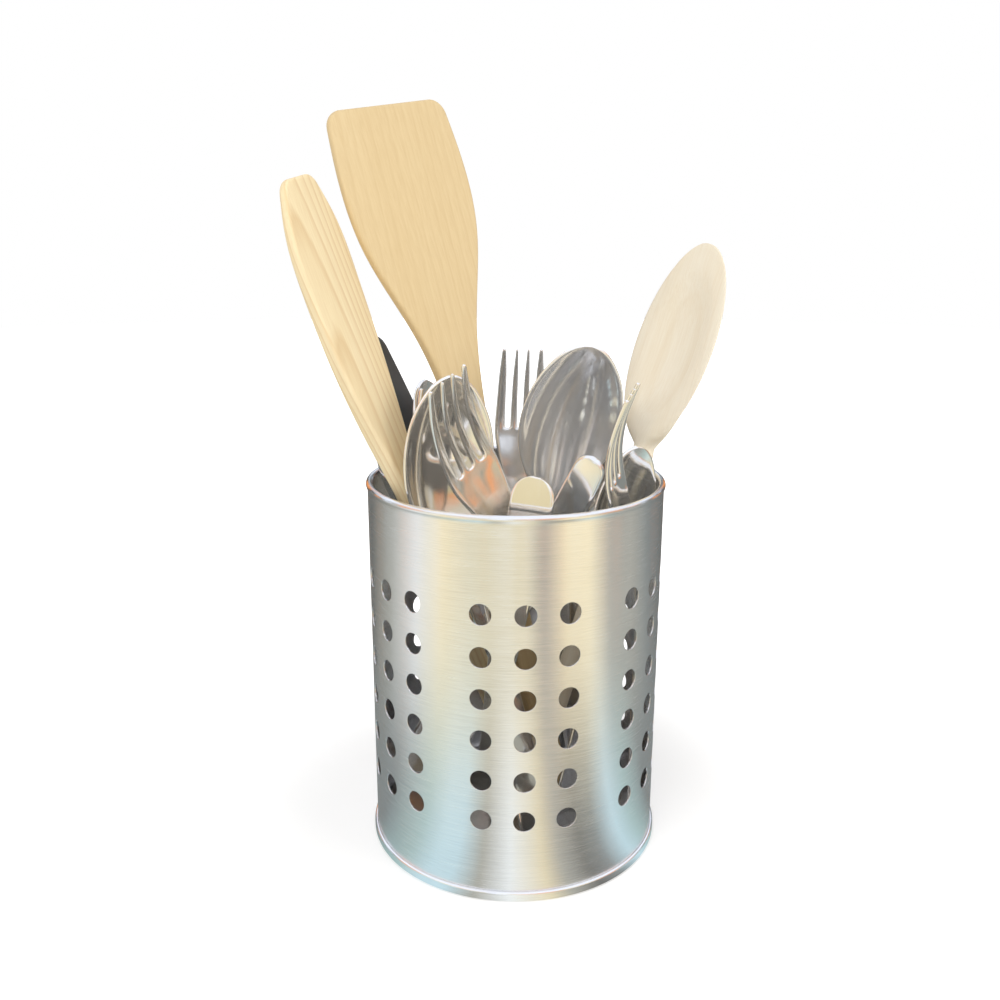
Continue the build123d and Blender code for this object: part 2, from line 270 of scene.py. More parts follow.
def toned(tint, factor):
    return tuple(min(1.0, c * factor) for c in tint)


def times(tree, value, factor):
    """A socket times a number or another socket."""
    node = add_node(tree, "ShaderNodeMath", operation="MULTIPLY")
    tree.links.new(value, node.inputs[0])
    if isinstance(factor, (int, float)):
        node.inputs[1].default_value = factor
    else:
        tree.links.new(factor, node.inputs[1])
    return node.outputs["Value"]


def object_position(tree):
    return add_node(tree, "ShaderNodeTexCoord").outputs["Object"]


def local_position(tree, place):
    """Object coordinates turned into a piece's own directions, in metres from its foot."""
    foot, across, front, along = place
    position = object_position(tree)
    joined = add_node(tree, "ShaderNodeCombineXYZ")
    for i, direction in enumerate((across, front, along)):
        dot = add_node(tree, "ShaderNodeVectorMath", operation="DOT_PRODUCT")
        dot.inputs[1].default_value = tuple(float(c) for c in direction)
        tree.links.new(position, dot.inputs[0])
        shift = add_node(tree, "ShaderNodeMath", operation="SUBTRACT")
        shift.inputs[1].default_value = float(np.dot(direction, foot)) * MM
        tree.links.new(dot.outputs["Value"], shift.inputs[0])
        tree.links.new(shift.outputs["Value"], joined.inputs[i])
    return joined.outputs["Vector"]


def scaled(tree, vector, factors, shift=(0, 0, 0)):
    node = add_node(tree, "ShaderNodeMapping")
    node.inputs["Location"].default_value = shift
    node.inputs["Scale"].default_value = factors
    tree.links.new(vector, node.inputs["Vector"])
    return node.outputs["Vector"]


def noise(tree, vector, scale, detail, roughness=0.5):
    node = add_node(tree, "ShaderNodeTexNoise")
    node.inputs["Scale"].default_value = scale
    node.inputs["Detail"].default_value = detail
    node.inputs["Roughness"].default_value = roughness
    tree.links.new(vector, node.inputs["Vector"])
    return node.outputs["Fac"]


def blend(tree, factor, a, b):
    """A mix of two colours by the factor socket. Each colour is a socket or a plain colour."""
    node = add_node(tree, "ShaderNodeMix", data_type="RGBA")
    tree.links.new(factor, node.inputs[MIX_FACTOR])
    for socket, colour in ((MIX_A, a), (MIX_B, b)):
        if isinstance(colour, tuple):
            node.inputs[socket].default_value = (*colour, 1.0)
        else:
            tree.links.new(colour, node.inputs[socket])
    return node.outputs[MIX_RESULT]


def bump(tree, bsdf, height, strength, distance):
    node = add_node(tree, "ShaderNodeBump")
    node.inputs["Strength"].default_value = strength
    node.inputs["Distance"].default_value = distance
    tree.links.new(height, node.inputs["Height"])
    tree.links.new(node.outputs["Normal"], bsdf.inputs["Normal"])


# How far patches, rings and fibres are drawn out along a wooden piece, and hairlines upward: less is longer
PATCH_STRETCH = 0.12
RING_STRETCH = 0.16
FIBRE_STRETCH = 0.025
HAIR_STRETCH = 0.06

FIBRE_STRENGTH = 0.22
WORN_TONE = 0.93
LINE_TONE = 1.1


def wood(name, place, pale, deep, streak, ring_scale, ring_shift, ring_strength):
    """Bare wood: growth rings cut by the board, with fine fibres along it."""
    material, tree, bsdf = shader(name, Specular_IOR_Level=0.35)
    local = local_position(tree, place)
    patches = noise(tree, scaled(tree, local, (1, 1, PATCH_STRETCH)), 60, 3)
    rings = add_node(tree, "ShaderNodeTexWave", wave_type="RINGS", rings_direction="Z", wave_profile="SAW")
    rings.inputs["Scale"].default_value = ring_scale
    rings.inputs["Distortion"].default_value = 2.2
    rings.inputs["Detail"].default_value = 2.0
    rings.inputs["Detail Scale"].default_value = 0.6
    tree.links.new(scaled(tree, local, (1, 1, RING_STRETCH), ring_shift), rings.inputs["Vector"])
    ring_stops = [(0, grey(0.0)), (0.55, grey(0.25)), (0.86, grey(1.0)), (1, grey(0.0))]
    ring_amount = times(tree, ramp(tree, rings.outputs["Fac"], ring_stops), ring_strength)
    ringed = blend(tree, ring_amount, blend(tree, patches, pale, deep), streak)
    fibre = noise(tree, scaled(tree, local, (1, 1, FIBRE_STRETCH)), 1500, 5, 0.65)
    fibre_amount = times(tree, ramp(tree, fibre, [(0.38, grey(0.0)), (0.72, grey(1.0))]), FIBRE_STRENGTH)
    tree.links.new(blend(tree, fibre_amount, ringed, streak), bsdf.inputs["Base Color"])
    rough = ramp(tree, fibre, [(0.3, grey(0.46)), (0.75, grey(0.66))])
    tree.links.new(rough, bsdf.inputs["Roughness"])
    bump(tree, bsdf, fibre, 0.25, 0.0002)
    return material


def polished(name, tint, low, high, hair_scale, metallic=0.9):
    """Polished steel with faint wear: soft patches, and fine hairlines between two roughnesses."""
    material, tree, bsdf = shader(name, Metallic=metallic, Specular_IOR_Level=0.8)
    position = object_position(tree)
    patches = noise(tree, position, 45, 3)
    hairs = noise(tree, scaled(tree, position, (1, 1, HAIR_STRETCH)), hair_scale, 3, 0.7)
    rough = ramp(tree, times(tree, patches, hairs), [(0.12, grey(low)), (0.42, grey(high))])
    tree.links.new(rough, bsdf.inputs["Roughness"])
    base = ramp(tree, patches, [(0.3, toned(tint, WORN_TONE)), (0.7, tint)])
    tree.links.new(base, bsdf.inputs["Base Color"])
    bump(tree, bsdf, hairs, 0.05, 0.00005)
    return material


def brushed(name, tint, roughness, line_density):
    """Steel brushed round the holder: fine lines round it, and soft stains."""
    material, tree, bsdf = shader(name, Metallic=1.0, Anisotropic=0.95, Anisotropic_Rotation=0.25)
    tangent = add_node(tree, "ShaderNodeTangent", direction_type="RADIAL", axis="Z")
    tree.links.new(tangent.outputs["Tangent"], bsdf.inputs["Tangent"])
    position = object_position(tree)
    lines = noise(tree, scaled(tree, position, (1, 1, line_density)), 60, 6, 0.75)
    stains = noise(tree, position, 28, 4, 0.6)
    rough = ramp(tree, lines, [(0.3, grey(roughness - 0.05)), (0.7, grey(roughness + 0.06))])
    tree.links.new(rough, bsdf.inputs["Roughness"])
    base = ramp(tree, stains, [(0.35, toned(tint, WORN_TONE)), (0.6, tint)])
    line_tone = ramp(tree, lines, [(0.36, grey(0.0)), (0.64, grey(1.0))])
    tree.links.new(blend(tree, line_tone, base, toned(tint, LINE_TONE)), bsdf.inputs["Base Color"])
    bump(tree, bsdf, lines, 0.12, 0.00004)
    return material


def dark_plastic(name):
    """Dark grey plastic, softly patchy, with a fine grain."""
    material, tree, bsdf = shader(name, Roughness=0.35)
    position = object_position(tree)
    tones = [(0.3, (0.045, 0.05, 0.055)), (0.7, (0.075, 0.08, 0.085))]
    tree.links.new(ramp(tree, noise(tree, position, 60, 3), tones), bsdf.inputs["Base Color"])
    bump(tree, bsdf, noise(tree, position, 900, 3), 0.15, 0.0001)
    return material


SLEEVE_STEEL = brushed("sleeve_steel", (0.88, 0.88, 0.88), 0.23, 55)
PAN_STEEL = brushed("pan_steel", (0.90, 0.90, 0.90), 0.20, 40)
SPOON_STEEL = polished("spoon_steel", (0.98, 0.96, 0.92), 0.04, 0.12, 900)
FORK_STEEL = polished("fork_steel", (0.98, 0.95, 0.90), 0.06, 0.15, 900)
SATIN_STEEL = polished("satin_steel", (0.98, 0.98, 0.99), 0.07, 0.15, 700, 0.72)
BLADE_STEEL = polished("blade_steel", (0.93, 0.93, 0.93), 0.08, 0.20, 1200)


# Sleeve: a rolled sheet with holes, its top edge curled

# A hole's square cell: steps along each side, and rings from the hole's edge out to the square
CELL_STEPS = 8
CELL_RINGS = (0, 0.14, 0.5, 1)
GAP_STEPS = 6
BAND_STEPS = 12

# Gap under the wall in the pan's seam
WALL_LIFT = 0.2

# The curl: how far under its middle it starts, its first step out and up, and its arc
CURL_START = 2.4
CURL_LEAD_OUT = 0.03
CURL_LEAD_UP = 0.8
CURL_DEGREES = range(-32, 236, 14)

# Rounding of the cut edges, and the height at which the sheet's outside is looked for
CUT_EDGE = 0.13
CUT_EDGE_ANGLE = 50
PROBE_HEIGHT = 20


def wall_point(arc, height, radius=HOLDER_RADIUS):
    """A point in metres from millimetres: the length round the wall from the front, height and radius."""
    angle = arc / HOLDER_RADIUS - math.pi / 2
    return radius * math.cos(angle) * MM, radius * math.sin(angle) * MM, height * MM


def cell_spoke(x, z):
    """Points from the edge of a hole at 0 out to the point x, z of the square round it."""
    reach = math.hypot(x, z)
    edge_x = HOLDER_RADIUS * math.asin(x / reach * HOLE_RADIUS / HOLDER_RADIUS)
    edge_z = z / reach * HOLE_RADIUS
    return [(edge_x + (x - edge_x) * t, edge_z + (z - edge_z) * t) for t in CELL_RINGS]


def build_sleeve():
    work = bmesh.new()
    known = {}
    round_length = 2 * math.pi * HOLDER_RADIUS
    group_length = round_length / GROUPS
    columns_width = PITCH * COLUMNS
    half = PITCH / 2
    side = np.linspace(-half, half, CELL_STEPS + 1)
    hole_heights = [TOP_ROW_HEIGHT - PITCH * row for row in range(ROWS)]

    def vertex(arc, height):
        arc %= round_length
        key = (round(arc, 3) % round(round_length, 3), round(height, 3))
        if key not in known:
            known[key] = work.verts.new(wall_point(arc, height))
        return known[key]

    def quad(*corners):
        verts = []
        for corner in corners:
            v = vertex(*corner)
            if v not in verts:
                verts.append(v)
        work.faces.new(verts)

    # the holes, each in a square cell
    square = [(s, -half) for s in side[:-1]] + [(half, s) for s in side[:-1]]
    square += [(-s, half) for s in side[:-1]] + [(-half, -s) for s in side[:-1]]
    spokes = [cell_spoke(x, z) for x, z in square]
    for group in range(GROUPS):
        for column in range(COLUMNS):
            centre = group * group_length + (column - 1) * PITCH
            for height in hole_heights:
                for p, q in zip(spokes, spokes[1:] + spokes[:1]):
                    for i in range(len(CELL_RINGS) - 1):
                        quad(*[(centre + x, height + z) for x, z in (p[i], p[i + 1], q[i + 1], q[i])])

    # plain strips between the groups
    arcs = []
    for group in range(GROUPS):
        start = group * group_length - (COLUMNS / 2) * PITCH
        steps = CELL_STEPS * COLUMNS
        arcs += [start + columns_width * i / steps for i in range(steps)]
        gap = group_length - columns_width
        gap_arcs = [start + columns_width + gap * i / GAP_STEPS for i in range(GAP_STEPS + 1)]
        arcs += gap_arcs[:-1]
        for a, b in zip(gap_arcs, gap_arcs[1:]):
            for height in hole_heights:
                for low, high in zip(side, side[1:]):
                    quad((a, height + low), (b, height + low), (b, height + high), (a, height + high))

    # plain bands below and above the holes
    curl_radius, curl_height = HOLDER_RADIUS + CURL_PROUD - CURL_RADIUS, HOLDER_HEIGHT - CURL_RADIUS
    plain_top = curl_height - CURL_START
    bands = (np.linspace(SHEET + WALL_LIFT, hole_heights[-1] - half, BAND_STEPS),
             np.linspace(hole_heights[0] + half, plain_top, BAND_STEPS))
    for a, b in zip(arcs, arcs[1:] + arcs[:1]):
        for heights in bands:
            for low, high in zip(heights, heights[1:]):
                quad((a, low), (b, low), (b, high), (a, high))

    # the curl, as a profile of (radius, height) carried round
    profile = [(HOLDER_RADIUS + CURL_LEAD_OUT, plain_top + CURL_LEAD_UP)]
    for degrees in CURL_DEGREES:
        angle = math.radians(degrees)
        out, up = CURL_RADIUS * math.cos(angle), CURL_RADIUS * math.sin(angle)
        profile.append((curl_radius + out, curl_height + up))
    rings = [[vertex(arc, plain_top) for arc in arcs]]
    for radius, height in profile:
        rings.append([work.verts.new(wall_point(arc, height, radius)) for arc in arcs])
    for below, above in zip(rings, rings[1:]):
        for i in range(len(arcs)):
            j = (i + 1) % len(arcs)
            work.faces.new((below[i], below[j], above[j], above[i]))

    bmesh.ops.recalc_face_normals(work, faces=work.faces)
    mesh = bpy.data.meshes.new("sleeve_sheet")
    work.to_mesh(mesh)
    work.free()
    for polygon in mesh.polygons:
        polygon.use_smooth = True
    obj = bpy.data.objects.new("sleeve_sheet", mesh)
    bpy.context.scene.collection.objects.link(obj)
    # the sheet's faces look outward, so that its gauge goes inward
    probe = min(mesh.polygons, key=lambda face: abs(face.center.z - PROBE_HEIGHT * MM))
    if probe.normal.dot(Vector((probe.center.x, probe.center.y, 0))) < 0:
        mesh.flip_normals()
    solid = obj.modifiers.new("gauge", "SOLIDIFY")
    solid.thickness = SHEET * MM
    solid.offset = -1
    edge = obj.modifiers.new("edge", "BEVEL")
    edge.width = CUT_EDGE * MM
    edge.segments = 2
    edge.limit_method = "ANGLE"
    edge.angle_limit = math.radians(CUT_EDGE_ANGLE)
    edge.harden_normals = True
    return obj


finish_piece(build_sleeve(), "holder", "perforated_sleeve", SLEEVE_STEEL)


# Base pan: a lathe of its pressed and rolled profile

FLOOR_RADII = (0.0, 20, 40, 55)
SEAM_ROUNDING = 0.95
SEAM_GAP = 0.02
FOOT_CHAMFER = 0.25
PAN_STEPS = 180

# Small corners of the profile, as steps out and up
UNDER_CORNER = ((-0.6, 0.0), (-0.15, -0.2), (0.0, -0.7))
SEAM_LIP = ((0.12, -0.03), (SEAM_GAP, -0.4))
FLOOR_EDGE = ((-SEAM_GAP, -0.2), (-0.25, 0.0))


def pan_profile():
    """Radius and height from the middle of the underside, round the seam, to the middle of the floor."""
    upstand_outer = HOLDER_RADIUS - SHEET
    upstand_inner = upstand_outer - SHEET
    outer = HOLDER_RADIUS + SEAM_THICKNESS
    underside = FLOOR_TOP - SHEET
    profile = [(radius, underside) for radius in FLOOR_RADII]
    profile += [(upstand_inner + out, underside + up) for out, up in UNDER_CORNER]
    profile += [(upstand_inner, FOOT_CHAMFER), (upstand_inner + FOOT_CHAMFER, 0.0)]
    profile.append((outer - SEAM_ROUNDING, 0.0))
    for low, high, height in ((-75, 1, SEAM_ROUNDING), (0, 91, SEAM_HEIGHT - SEAM_ROUNDING)):
        for degrees in range(low, high, 15):
            angle = math.radians(degrees)
            inset = SEAM_ROUNDING * (1 - math.cos(angle))
            profile.append((outer - inset, height + SEAM_ROUNDING * math.sin(angle)))
    profile += [(HOLDER_RADIUS + out, SEAM_HEIGHT + up) for out, up in SEAM_LIP]
    profile += [(HOLDER_RADIUS + SEAM_GAP, SHEET), (upstand_outer - SEAM_GAP, SHEET)]
    profile += [(upstand_outer + out, FLOOR_TOP + up) for out, up in FLOOR_EDGE]
    return profile + [(radius, FLOOR_TOP) for radius in reversed(FLOOR_RADII)]


def build_pan():
    verts, faces, rings = [], [], []
    for radius, height in pan_profile():
        if radius == 0:
            rings.append([len(verts)] * PAN_STEPS)
            verts.append((0, 0, height))
            continue
        rings.append(list(range(len(verts), len(verts) + PAN_STEPS)))
        for i in range(PAN_STEPS):
            angle = 2 * math.pi * i / PAN_STEPS
            verts.append((radius * math.cos(angle), radius * math.sin(angle), height))
    for below, above in zip(rings, rings[1:]):
        for i in range(PAN_STEPS):
            j = (i + 1) % PAN_STEPS
            corners = [below[i], below[j], above[j], above[i]]
            faces.append([c for k, c in enumerate(corners) if c not in corners[:k]])
    obj = mesh_object("pan_pressing", verts, faces)
    outward(obj)
    return obj


finish_piece(build_pan(), "holder", "base_pan", PAN_STEEL)


# Forks: half width and front offset along a fork of FORK_LENGTH

FORK_SIDE = [(10, 10), (80, 6.3), (127, 3.4), (142, 7.4), (156, 11.1), (172, 10.9), (199, 9.7)]
FORK_BEND = [
    (0, 0), (30, 2.5), (70, 5.5), (110, 8), (130, 7.5), (148, 4), (163, 1.3), (184, 4), (199, 10.5),
]
FORK_DISH = 0.9
FORK_DISH_START = (132, 150)
FORK_DISH_END = (FORK_LENGTH - 20, FORK_LENGTH)
TINES = 4
TINE_TAPER = 0.42
TINE_TAPER_LENGTH = 14
TINE_TIP_LENGTH = 1.6
TINE_TIP_ROUNDING = 1.75
TINE_TIP_LEAST = 0.12

# Stations at the slots' roots, and back from the tips
ROOT_STATIONS = (-5, -3, -1.4, 0, 1.6, 4)
TIP_STATIONS = (3.2, 1.6, 0.6, 0)

# Lengths before the roots between which an even spread across turns into the tines' edges
TINES_START = 26
TINES_DONE = 3


def tine_edges(s, half):
    """Places across a fork: the two edges and the middle of each tine."""
    part = max(0.0, (s - SLOT_ROOT) / (FORK_LENGTH - SLOT_ROOT))
    pitch = SLOT_PITCH * (1 + (SLOT_TAPER - 1) * part)
    slot_half = (SLOT_WIDTH + (SLOT_MOUTH - SLOT_WIDTH) * part) / 2
    edges = [-half, -pitch - slot_half, -pitch + slot_half, -slot_half]
    edges += [slot_half, pitch - slot_half, pitch + slot_half, half]
    tip = 1 - TINE_TAPER * ease(FORK_LENGTH - TINE_TAPER_LENGTH, FORK_LENGTH, s)
    past = max(0.0, s - FORK_LENGTH + TINE_TIP_LENGTH)
    tip *= math.sqrt(max(TINE_TIP_LEAST, 1 - (past / TINE_TIP_ROUNDING) ** 2))
    row = []
    for k in range(TINES):
        left, right = edges[2 * k], edges[2 * k + 1]
        middle, reach = (left + right) / 2, (right - left) / 2
        if s > SLOT_ROOT:
            reach *= tip
        row += [middle - reach, middle, middle + reach]
    return row


def build_fork(name, length, steel=FORK_STEEL):
    size = length / FORK_LENGTH
    side, bend = curve(FORK_SIDE), curve(FORK_BEND)
    root = SLOT_ROOT - SLOT_WIDTH * 0.45
    levels = [s for s in stations(FORK_LENGTH, (), 6.5) if s < root - 7]
    levels += [root + step for step in ROOT_STATIONS]
    levels += list(np.linspace(root + 8, FORK_LENGTH - 6, 6))
    levels += [FORK_LENGTH - gap for gap in TIP_STATIONS]
    rows = []
    gaps = set()
    for i, s in enumerate(levels):
        half = foot_width(STEEL_END, s) if s < STEEL_END else side(s)
        row = tine_edges(s, half)
        even = [half * t for t in np.linspace(-1, 1, len(row))]
        weight = ease(root - TINES_START, root - TINES_DONE, s)
        across = [a * (1 - weight) + b * weight for a, b in zip(even, row)]
        dish = FORK_DISH * ease(*FORK_DISH_START, s) * (1 - ease(*FORK_DISH_END, s))
        fronts = [bend(s) - dish * (1 - (x / half) ** 2) + dish * 0.5 for x in across]
        rows.append([(x * size, front * size, s * size) for x, front in zip(across, fronts)])
        if s >= root - 0.01 and i < len(levels) - 1:
            gaps |= {(i, 3 * k - 1) for k in range(1, TINES)}
    obj = sheet_piece(name + "_forging", seat(name, STEEL_END, STEEL), rows, gaps)
    thicken(obj, STEEL)
    finish_piece(obj, name, name, steel)


for fork in ("slim_fork", "leaning_fork", "right_fork"):
    build_fork(fork, FORK_LENGTH)
build_fork("back_fork", FORK_LENGTH, SATIN_STEEL)
build_fork("left_fork", LONG_FORK_LENGTH)


# Spoons: end is the half width at the handle's end, and neck that of the neck. The rises lift the rim

SPOON_SIZES = "length bowl_length bowl_width bowl_depth gauge end neck arch neck_rise tip_rise"
Spoon = namedtuple("Spoon", SPOON_SIZES)

CARVED_SPOON = Spoon(267.4, 93, 57, 8.5, 4, 4.6, 4.5, 0, 3, 6)
TABLE_SPOON = Spoon(198, 66, 41, 9, STEEL, STEEL_END, 3.3, 7, 5, 11)
SERVING_SPOON = Spoon(218, 71, 43, 9.5, STEEL, STEEL_END, 3.6, 7.5, 5, 11)
DESSERT_SPOON = Spoon(172, 54, 35, 7.5, STEEL, 8.8, 3, 6, 4.5, 9.5)
SMALL_SPOON = Spoon(165, 48, 31, 6.5, STEEL, 8.7, 3, 6, 4.5, 9.5)

# Lengths before and after a steel spoon's neck over which its sides and its front turn into the bowl's
FLARE_BEFORE = 8
FLARE_AFTER = 3
OUTLINE_AFTER = 20
FRONT_BEFORE = 6
FRONT_AFTER = 7
LIFT_AFTER = 9

BOWL_COLUMNS = 13
SPOON_TIP_LENGTH = 0.3
SPOON_TIP_HALF = 1.2


def bowl_shape(spoon, trim):
    """A bowl that ends trim under its rim: its half width, depth under the rim, and last station."""
    neck = spoon.length - spoon.bowl_length
    depth = spoon.bowl_depth
    half_bowl, half_chord = spoon.bowl_width / 2, spoon.bowl_length / 2
    centre = (half_bowl**2 - depth**2) / (2 * depth)
    arc_radius = (half_chord**2 + depth**2) / (2 * depth)

    def deepest(s):
        u = s - neck - half_chord
        if abs(u) > half_chord:
            return 0.0
        return max(0.0, math.sqrt(arc_radius**2 - u * u) - (arc_radius - depth))

    def half_width(s):
        return math.sqrt(max(0.0, (centre + deepest(s)) ** 2 - (centre + trim) ** 2))

    def hollow(s, x):
        return max(0.0, math.sqrt(max(0.0, (centre + deepest(s)) ** 2 - x * x)) - centre)

    tip = neck + half_chord + math.sqrt(arc_radius**2 - (arc_radius - depth + trim) ** 2)
    return half_width, hollow, tip


def rim_height(spoon, s):
    past_neck = s - spoon.length + spoon.bowl_length
    return spoon.neck_rise + (spoon.tip_rise - spoon.neck_rise) * past_neck / spoon.bowl_length


def spoon_surface(spoon):
    """A steel spoon's half width by station, and its front offset by station and distance across."""
    end, narrow, arch, gauge = spoon.end, spoon.neck, spoon.arch, spoon.gauge
    neck = spoon.length - spoon.bowl_length
    bowl_half, hollow, tip = bowl_shape(spoon, BOWL_TRIM + STEEL / 4)
    handle_width = curve([
        (end, end), (neck * 0.45, end * 0.76), (neck * 0.74, end * 0.5), (neck * 0.9, narrow),
        (neck + 2 * gauge, narrow * 1.4),
    ])
    handle_front = curve([
        (0, 0), (neck * 0.22, arch * 0.29), (neck * 0.52, arch * 0.71), (neck * 0.78, arch),
        (neck * 0.9, arch * 0.93), (neck, spoon.neck_rise - gauge / 2),
        (neck + 12, spoon.neck_rise - gauge * 1.4),
    ])

    def half_width(s):
        if s < neck - FLARE_BEFORE:
            return foot_width(end, s) if s < end else handle_width(s)
        flare = narrow * (1 + 0.5 * ease(neck - FLARE_BEFORE, neck + FLARE_AFTER, s))
        if s <= neck:
            return flare
        return (bowl_half(s) ** 4 + flare**4 * (1 - ease(neck, neck + OUTLINE_AFTER, s))) ** 0.25

    def front(s, x):
        if s < neck - FRONT_BEFORE:
            return handle_front(s)
        bowl = rim_height(spoon, s) - hollow(s, x)
        weight = ease(neck - FRONT_BEFORE, neck + FRONT_AFTER, s)
        return handle_front(s) * (1 - weight) + bowl * weight

    return half_width, front, neck, tip


def build_spoon(name, spoon, place, steel=SPOON_STEEL):
    half_width, front, neck, tip = spoon_surface(spoon)
    rows = []
    for s in stations(tip, (neck,), 6):
        half = half_width(s)
        if s >= tip - SPOON_TIP_LENGTH:
            half = max(half, SPOON_TIP_HALF)
        lift = STEEL / 2 * ease(neck, neck + LIFT_AFTER, s)
        rows.append([(half * t, front(s, half * t) + lift, s) for t in np.linspace(-1, 1, BOWL_COLUMNS)])
    obj = sheet_piece(name + "_pressing", place, rows)
    thicken(obj, STEEL)
    finish_piece(obj, name, name, steel)


for name, spoon in (("side_spoon", TABLE_SPOON), ("slim_spoon", TABLE_SPOON), ("left_spoon", TABLE_SPOON),
                    ("back_spoon", TABLE_SPOON), ("low_right_spoon", DESSERT_SPOON)):
    build_spoon(name, spoon, seat(name, STEEL_END, STEEL))
build_spoon("big_spoon", SERVING_SPOON, seat("big_spoon", STEEL_END, STEEL), SATIN_STEEL)
build_spoon("low_handle_spoon", SMALL_SPOON,
            turned_over(seat("low_handle_spoon", STEEL_END, STEEL), SMALL_SPOON.length))


# Solid pieces: rounded sections along a piece

CORNER_POINTS = 7


def rounded_section(half_width, half_thickness, rounding):
    """Points of a rounded rectangle, going round from the front right corner."""
    r = min(rounding, half_width * 0.98, half_thickness * 0.98)
    flat_x, flat_y = half_width - r, half_thickness - r
    points = []
    for corner, (sx, sy) in enumerate(((1, 1), (-1, 1), (-1, -1), (1, -1))):
        for i in range(CORNER_POINTS):
            angle = math.pi / 2 * (corner + i / (CORNER_POINTS - 1))
            points.append((sx * flat_x + r * math.cos(angle), sy * flat_y + r * math.sin(angle)))
    return points


def solid_piece(name, place, levels, section, front=lambda s: 0.0):
    """A closed solid from sections at the levels: points across and in thickness, moved to the front."""
    foot, across, forward, along = place
    verts, faces = [], []
    sections = [section(s) for s in levels]
    count = len(sections[0])
    for s, points in zip(levels, sections):
        for x, f in points:
            verts.append(foot + across * x + forward * (front(s) + f) + along * s)
    for i in range(len(levels) - 1):
        for j in range(count):
            k = (j + 1) % count
            a = i * count
            faces.append((a + j, a + k, a + count + k, a + count + j))
    faces.append(tuple(range(count - 1, -1, -1)))
    last = (len(levels) - 1) * count
    faces.append(tuple(range(last, last + count)))
    obj = mesh_object(name, verts, faces)
    outward(obj)
    return obj


def rounded_foot(half_thickness, rounding, s):
    """Half thickness near an end at 0 that is rounded over a length."""
    if s >= rounding:
        return half_thickness
    return half_thickness * math.sqrt(max(0.02, 1 - (1 - s / rounding) ** 2))


# Wooden boards. The curves give half width, front offset and thickness along a board

Board = namedtuple("Board", "length end side bend thickness corner foot_round edge_round")
TURNER = Board(
    TURNER_LENGTH, 6.0,
    [(6, 6), (40, 6), (80, 6), (120, 6), (184, 8.1), (217, 14.8), (250, 26.5), (266, 28.8),
     (TURNER_LENGTH, 26.5)],
    [(0, 0), (100, 0.5), (180, 1), (230, -0.5), (TURNER_LENGTH, -5.5)],
    [(0, 6), (100, 6), (180, 5.5), (230, 4.5), (TURNER_LENGTH, 3)],
    corner=6.0, foot_round=1.4, edge_round=1.4)
PADDLE = Board(
    PADDLE_LENGTH, PADDLE_HANDLE_RADIUS,
    [(4.4, 4.4), (60, 4.4), (120, 4.4), (152, 5.6), (188, 12.3), (214, 16.1), (241, 17.6), (263, 16.3),
     (PADDLE_LENGTH, 9.7)],
    [(0, 0), (100, 0.3), (170, 0.8), (230, 2.5), (PADDLE_LENGTH, 6)],
    [(0, 8.8), (60, 8.8), (120, 8.8), (160, 7.4), (190, 5.8), (230, 4.8), (PADDLE_LENGTH, 3.2)],
    corner=4.0, foot_round=PADDLE_HANDLE_RADIUS, edge_round=1.6)
BOARD_STEP = 4.0
ROUND_TO_FLAT = (125, 195)
LEAST_HALF_WIDTH = 0.25
LEAST_HALF_THICKNESS = 0.12


def build_board(name, node, board, material, place):
    length, corner = board.length, board.corner
    foot_round, edge_round = board.foot_round, board.edge_round
    side, bend, thick = curve(board.side), curve(board.bend), curve(board.thickness)
    top = side(length)

    def section(s):
        half = foot_width(board.end, s) if s < board.end else side(s)
        half_thick = thick(s) / 2
        if s > length - corner:
            drop = corner - math.sqrt(max(0.0, corner**2 - (s - length + corner) ** 2))
            half -= drop * min(1.0, top / corner)
        tip_round = edge_round * 0.8
        if length - s < tip_round:
            half_thick -= tip_round - math.sqrt(max(0.0, tip_round**2 - (tip_round - length + s) ** 2))
        if s < foot_round:
            half_thick -= foot_round - foot_width(foot_round, s)
        rounding = edge_round + max(0.0, foot_round - edge_round) * (1 - ease(*ROUND_TO_FLAT, s))
        return rounded_section(max(half, LEAST_HALF_WIDTH), max(half_thick, LEAST_HALF_THICKNESS), rounding)

    levels = [0.05, 0.4, 1.0, 2.0, 3.4, 5.2, 7.5] + list(np.arange(10, length - corner - 2, BOARD_STEP))
    levels += [length - corner * (1 - math.sin(math.radians(degrees))) for degrees in range(0, 91, 10)]
    obj = solid_piece(name, place, levels, section, bend)
    finish_piece(obj, node, node, material)


turner_place = seat("wooden_turner", WOOD_END, 6.0)
TURNER_WOOD = wood("turner_wood", turner_place, (0.74, 0.59, 0.35), (0.67, 0.51, 0.28), (0.52, 0.34, 0.15),
                   90, (0.05, 0.03, 0.0), 0.14)
build_board("turner_board", "wooden_turner", TURNER, TURNER_WOOD, turner_place)

paddle_place = seat("wooden_paddle", WOOD_END, 6.0)
PADDLE_WOOD = wood("paddle_wood", paddle_place, (0.93, 0.81, 0.56), (0.88, 0.72, 0.43), (0.64, 0.41, 0.18),
                   150, (0.012, 0.02, -0.02), 0.45)
build_board("paddle_board", "wooden_paddle", PADDLE, PADDLE_WOOD, paddle_place)


# Wooden spoon: its section goes from a round handle to a hollowed bowl with a rounded rim

HALF_TURN_STEPS = 14
LEAST_CARVED_HALF = 0.4

# Lengths before and after its neck over which the handle turns into the bowl
CARVED_BEFORE = 4
CARVED_AFTER = 18
CARVED_OUTLINE_AFTER = 26
SWELL_AFTER = 14


